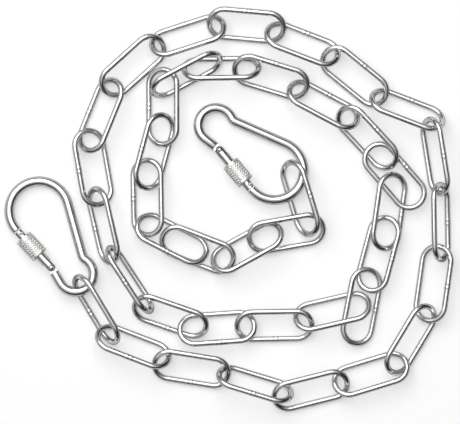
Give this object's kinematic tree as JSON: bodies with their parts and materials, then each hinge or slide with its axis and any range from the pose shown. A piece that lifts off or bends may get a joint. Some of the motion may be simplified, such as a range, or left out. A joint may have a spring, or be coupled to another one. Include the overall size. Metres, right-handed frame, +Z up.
{
  "type": "snap hook chain",
  "caption": "Long-link polished steel chain laid in a flat coil, with a hinged, sprung snap hook and a knurled screw sleeve at each end.",
  "frame": {"origin": "middle of the coil's outline, on the plane the chain lies on", "axes": "+Z up from that plane, +X to the right of the picture along the coil's longest side"},
  "size_m": [0.2316, 0.2086, 0.018],
  "materials": {
    "link_steel": "polished stainless",
    "hook_steel": "polished stainless",
    "gate_steel": "turned stainless",
    "pin_steel": "drawn stainless",
    "spring_steel": "drawn spring wire",
    "plunger_steel": "turned stainless",
    "sleeve_steel": "knurled stainless"
  },
  "bodies": {
    "outer_hook": {"outer_hook_body": "hook_steel", "outer_hinge_pin": "pin_steel"},
    "outer_gate": {"outer_gate": "gate_steel", "outer_latch_pin": "pin_steel", "outer_gate_spring": "spring_steel"},
    "outer_plunger": {"outer_plunger": "plunger_steel"},
    "outer_sleeve": {"outer_lock_sleeve": "sleeve_steel"},
    "link_01": {"link_01": "link_steel"},
    "link_02": {"link_02": "link_steel"},
    "link_03": {"link_03": "link_steel"},
    "link_04": {"link_04": "link_steel"},
    "link_05": {"link_05": "link_steel"},
    "link_06": {"link_06": "link_steel"},
    "link_07": {"link_07": "link_steel"},
    "link_08": {"link_08": "link_steel"},
    "link_09": {"link_09": "link_steel"},
    "link_10": {"link_10": "link_steel"},
    "link_11": {"link_11": "link_steel"},
    "link_12": {"link_12": "link_steel"},
    "link_13": {"link_13": "link_steel"},
    "link_14": {"link_14": "link_steel"},
    "link_15": {"link_15": "link_steel"},
    "link_16": {"link_16": "link_steel"},
    "link_17": {"link_17": "link_steel"},
    "link_18": {"link_18": "link_steel"},
    "link_19": {"link_19": "link_steel"},
    "link_20": {"link_20": "link_steel"},
    "link_21": {"link_21": "link_steel"},
    "link_22": {"link_22": "link_steel"},
    "link_23": {"link_23": "link_steel"},
    "link_24": {"link_24": "link_steel"},
    "link_25": {"link_25": "link_steel"},
    "link_26": {"link_26": "link_steel"},
    "link_27": {"link_27": "link_steel"},
    "link_28": {"link_28": "link_steel"},
    "link_29": {"link_29": "link_steel"},
    "link_30": {"link_30": "link_steel"},
    "link_31": {"link_31": "link_steel"},
    "link_32": {"link_32": "link_steel"},
    "link_33": {"link_33": "link_steel"},
    "link_34": {"link_34": "link_steel"},
    "link_35": {"link_35": "link_steel"},
    "link_36": {"link_36": "link_steel"},
    "link_37": {"link_37": "link_steel"},
    "link_38": {"link_38": "link_steel"},
    "link_39": {"link_39": "link_steel"},
    "link_40": {"link_40": "link_steel"},
    "link_41": {"link_41": "link_steel"},
    "inner_hook": {"inner_hook_body": "hook_steel", "inner_hinge_pin": "pin_steel"},
    "inner_gate": {"inner_gate": "gate_steel", "inner_latch_pin": "pin_steel", "inner_gate_spring": "spring_steel"},
    "inner_plunger": {"inner_plunger": "plunger_steel"},
    "inner_sleeve": {"inner_lock_sleeve": "sleeve_steel"}
  },
  "joints": [
    {"name": "outer_gate_hinge", "type": "hinge", "parent": "outer_hook", "child": "outer_gate", "pos_m": [-0.09146, -0.03017, 0.00561], "axis": [-0.0156, -0.0727, -0.9972], "range_deg": [0, 25], "stiffness_Nm_per_rad": 0.08, "springref_deg": -17.19},
    {"name": "outer_plunger_slide", "type": "slide", "parent": "outer_gate", "child": "outer_plunger", "axis": [-0.6827, 0.7295, -0.0425], "range_m": [0, 0.0012], "deforming": ["outer_gate_spring"]},
    {"name": "outer_sleeve_screw", "type": "slide", "parent": "outer_gate", "child": "outer_sleeve", "axis": [0.6827, -0.7295, 0.0425], "range_m": [-0.0067, 0.0045]},
    {"name": "link_01_swing", "type": "hinge", "parent": "outer_hook", "child": "link_01", "pos_m": [-0.07483, -0.04076, 0.00734], "axis": [-0.6565, -0.3652, -0.66], "range_deg": [-14, 16]},
    {"name": "link_02_swing", "type": "hinge", "parent": "link_01", "child": "link_02", "pos_m": [-0.06231, -0.0617, 0.006], "axis": [0.8451, 0.1171, 0.5216], "range_deg": [-16, 16]},
    {"name": "link_03_swing", "type": "hinge", "parent": "link_02", "child": "link_03", "pos_m": [-0.03504, -0.07715, 0.00703], "axis": [-0.674, -0.7051, 0.2205], "range_deg": [-16, 16]},
    {"name": "link_04_swing", "type": "hinge", "parent": "link_03", "child": "link_04", "pos_m": [-0.0015, -0.08571, 0.00643], "axis": [0.239, 0.8799, -0.4106], "range_deg": [-16, 4]},
    {"name": "link_05_swing", "type": "hinge", "parent": "link_04", "child": "link_05", "pos_m": [0.02571, -0.09409, 0.00784], "axis": [-0.4675, -0.7774, 0.4209], "range_deg": [-16, 16]},
    {"name": "link_06_swing", "type": "hinge", "parent": "link_05", "child": "link_06", "pos_m": [0.05764, -0.0897, 0.00524], "axis": [-0.2261, 0.9729, 0.0486], "range_deg": [-16, 16]},
    {"name": "link_07_swing", "type": "hinge", "parent": "link_06", "child": "link_07", "pos_m": [0.08715, -0.07816, 0.0053], "axis": [0.8263, -0.5075, -0.2441], "range_deg": [-7, 16]},
    {"name": "link_08_swing", "type": "hinge", "parent": "link_07", "child": "link_08", "pos_m": [0.10146, -0.05448, 0.00533], "axis": [-0.818, 0.5255, 0.2341], "range_deg": [-16, 16]},
    {"name": "link_09_swing", "type": "hinge", "parent": "link_08", "child": "link_09", "pos_m": [0.10928, -0.02053, 0.00702], "axis": [0.7922, -0.2815, -0.5415], "range_deg": [-5, 16]},
    {"name": "link_10_swing", "type": "hinge", "parent": "link_09", "child": "link_10", "pos_m": [0.10889, 0.01005, 0.00837], "axis": [-0.9944, -0.0536, 0.0914], "range_deg": [-16, 16]},
    {"name": "link_11_swing", "type": "hinge", "parent": "link_10", "child": "link_11", "pos_m": [0.10416, 0.04205, 0.01016], "axis": [0.8452, -0.0257, 0.5338], "range_deg": [-16, 7]},
    {"name": "link_12_swing", "type": "hinge", "parent": "link_11", "child": "link_12", "pos_m": [0.07808, 0.05732, 0.00555], "axis": [-0.6742, -0.6916, 0.2592], "range_deg": [-16, 16]},
    {"name": "link_13_swing", "type": "hinge", "parent": "link_12", "child": "link_13", "pos_m": [0.05195, 0.07895, 0.00583], "axis": [0.6097, 0.7772, -0.1556], "range_deg": [-16, 16]},
    {"name": "link_14_swing", "type": "hinge", "parent": "link_13", "child": "link_14", "pos_m": [0.02449, 0.09101, 0.00485], "axis": [-0.6537, -0.7359, 0.1763], "range_deg": [-16, 16]},
    {"name": "link_15_swing", "type": "hinge", "parent": "link_14", "child": "link_15", "pos_m": [-0.00702, 0.09419, 0.00514], "axis": [-0.3998, 0.8983, -0.1824], "range_deg": [-16, 16]},
    {"name": "link_16_swing", "type": "hinge", "parent": "link_15", "child": "link_16", "pos_m": [-0.03617, 0.08419, 0.00555], "axis": [0.4092, -0.8997, 0.1518], "range_deg": [-16, 16]},
    {"name": "link_17_swing", "type": "hinge", "parent": "link_16", "child": "link_17", "pos_m": [-0.06042, 0.06211, 0.00535], "axis": [-0.8971, 0.419, -0.1402], "range_deg": [-16, 16]},
    {"name": "link_18_swing", "type": "hinge", "parent": "link_17", "child": "link_18", "pos_m": [-0.0708, 0.03671, 0.00503], "axis": [0.91, -0.3673, 0.1923], "range_deg": [-16, 16]},
    {"name": "link_19_swing", "type": "hinge", "parent": "link_18", "child": "link_19", "pos_m": [-0.06746, 0.00382, 0.0064], "axis": [-0.8961, -0.0751, -0.4374], "range_deg": [-5, 16]},
    {"name": "link_20_swing", "type": "hinge", "parent": "link_19", "child": "link_20", "pos_m": [-0.05854, -0.02483, 0.0103], "axis": [0.3599, 0.702, -0.6146], "range_deg": [0, 16]},
    {"name": "link_21_swing", "type": "hinge", "parent": "link_20", "child": "link_21", "pos_m": [-0.04468, -0.04594, 0.00916], "axis": [-0.6163, -0.2295, 0.7534], "range_deg": [-8, 0]},
    {"name": "link_22_swing", "type": "hinge", "parent": "link_21", "child": "link_22", "pos_m": [-0.01969, -0.05922, 0.00472], "axis": [0.7711, 0.6099, 0.1828], "range_deg": [-14, 16]},
    {"name": "link_23_swing", "type": "hinge", "parent": "link_22", "child": "link_23", "pos_m": [0.00886, -0.06039, 0.00475], "axis": [0.0725, -0.9973, -0.0141], "range_deg": [-16, 16]},
    {"name": "link_24_swing", "type": "hinge", "parent": "link_23", "child": "link_24", "pos_m": [0.039, -0.05727, 0.0064], "axis": [-0.6197, 0.7741, -0.1295], "range_deg": [-16, 16]},
    {"name": "link_25_swing", "type": "hinge", "parent": "link_24", "child": "link_25", "pos_m": [0.06084, -0.05109, 0.00636], "axis": [-0.1823, -0.9377, 0.2956], "range_deg": [-11, 16]},
    {"name": "link_26_swing", "type": "hinge", "parent": "link_25", "child": "link_26", "pos_m": [0.07259, -0.03656, 0.00393], "axis": [-0.7562, 0.6536, -0.0296], "range_deg": [-16, 16]},
    {"name": "link_27_swing", "type": "hinge", "parent": "link_26", "child": "link_27", "pos_m": [0.08071, -0.01194, 0.00534], "axis": [0.7249, -0.6846, -0.0762], "range_deg": [-16, 16]},
    {"name": "link_28_swing", "type": "hinge", "parent": "link_27", "child": "link_28", "pos_m": [0.08396, 0.00734, 0.00544], "axis": [-0.6649, 0.7112, 0.2282], "range_deg": [-15, 16]},
    {"name": "link_29_swing", "type": "hinge", "parent": "link_28", "child": "link_29", "pos_m": [0.07842, 0.02823, 0.00548], "axis": [0.9688, -0.0409, 0.2444], "range_deg": [0, 14]},
    {"name": "link_30_swing", "type": "hinge", "parent": "link_29", "child": "link_30", "pos_m": [0.06067, 0.04738, 0.00631], "axis": [-0.4985, -0.8628, 0.0844], "range_deg": [-16, 16]},
    {"name": "link_31_swing", "type": "hinge", "parent": "link_30", "child": "link_31", "pos_m": [0.03621, 0.06126, 0.00505], "axis": [0.7711, 0.6062, -0.1947], "range_deg": [-16, 16]},
    {"name": "link_32_swing", "type": "hinge", "parent": "link_31", "child": "link_32", "pos_m": [0.00533, 0.07264, 0.00624], "axis": [-0.17, -0.9301, 0.3255], "range_deg": [-16, 7]},
    {"name": "link_33_swing", "type": "hinge", "parent": "link_32", "child": "link_33", "pos_m": [-0.01013, 0.07741, 0.00625], "axis": [-0.9472, -0.0176, 0.3201], "range_deg": [0, 16]},
    {"name": "link_34_swing", "type": "hinge", "parent": "link_33", "child": "link_34", "pos_m": [-0.02806, 0.06592, 0.00768], "axis": [0.2269, -0.7986, -0.5574], "range_deg": [-16, 16]},
    {"name": "link_35_swing", "type": "hinge", "parent": "link_34", "child": "link_35", "pos_m": [-0.03587, 0.0389, 0.00502], "axis": [-0.7472, 0.648, 0.1472], "range_deg": [-16, 16]},
    {"name": "link_36_swing", "type": "hinge", "parent": "link_35", "child": "link_36", "pos_m": [-0.04081, 0.02056, 0.00569], "axis": [0.8708, -0.4689, -0.1481], "range_deg": [-16, 16]},
    {"name": "link_37_swing", "type": "hinge", "parent": "link_36", "child": "link_37", "pos_m": [-0.04088, -0.00801, 0.00494], "axis": [-0.9071, -0.4195, 0.0343], "range_deg": [-16, 16]},
    {"name": "link_38_swing", "type": "hinge", "parent": "link_37", "child": "link_38", "pos_m": [-0.02256, -0.01843, 0.00483], "axis": [-0.3929, 0.918, -0.0535], "range_deg": [-16, 14]},
    {"name": "link_39_swing", "type": "hinge", "parent": "link_38", "child": "link_39", "pos_m": [-0.00206, -0.02529, 0.0052], "axis": [-0.0791, -0.9888, 0.1268], "range_deg": [-16, 16]},
    {"name": "link_40_swing", "type": "hinge", "parent": "link_39", "child": "link_40", "pos_m": [0.01481, -0.01674, 0.00496], "axis": [-0.5751, 0.7924, -0.2034], "range_deg": [-16, 2]},
    {"name": "link_41_swing", "type": "hinge", "parent": "link_40", "child": "link_41", "pos_m": [0.03981, -0.00411, 0.00691], "axis": [0.8947, 0.0037, 0.4467], "range_deg": [-16, 16]},
    {"name": "inner_hook_swing", "type": "hinge", "parent": "link_41", "child": "inner_hook", "pos_m": [0.03477, 0.01237, 0.00634], "axis": [-0.5283, -0.7813, -0.3322], "range_deg": [-16, 16]},
    {"name": "inner_gate_hinge", "type": "hinge", "parent": "inner_hook", "child": "inner_gate", "pos_m": [-0.0048, 0.03037, 0.00568], "axis": [0.0727, 0.1327, 0.9885], "range_deg": [0, 25], "stiffness_Nm_per_rad": 0.08, "springref_deg": -17.19},
    {"name": "inner_plunger_slide", "type": "slide", "parent": "inner_gate", "child": "inner_plunger", "axis": [0.6335, -0.7716, 0.0569], "range_m": [0, 0.0012], "deforming": ["inner_gate_spring"]},
    {"name": "inner_sleeve_screw", "type": "slide", "parent": "inner_gate", "child": "inner_sleeve", "axis": [-0.6335, 0.7716, -0.0569], "range_m": [-0.0067, 0.0045]}
  ],
  "couplings": [
    {"joint": "outer_plunger_slide", "follows": "outer_gate_hinge", "m_per_rad": 0.002},
    {"joint": "inner_plunger_slide", "follows": "inner_gate_hinge", "m_per_rad": 0.002}
  ]
}
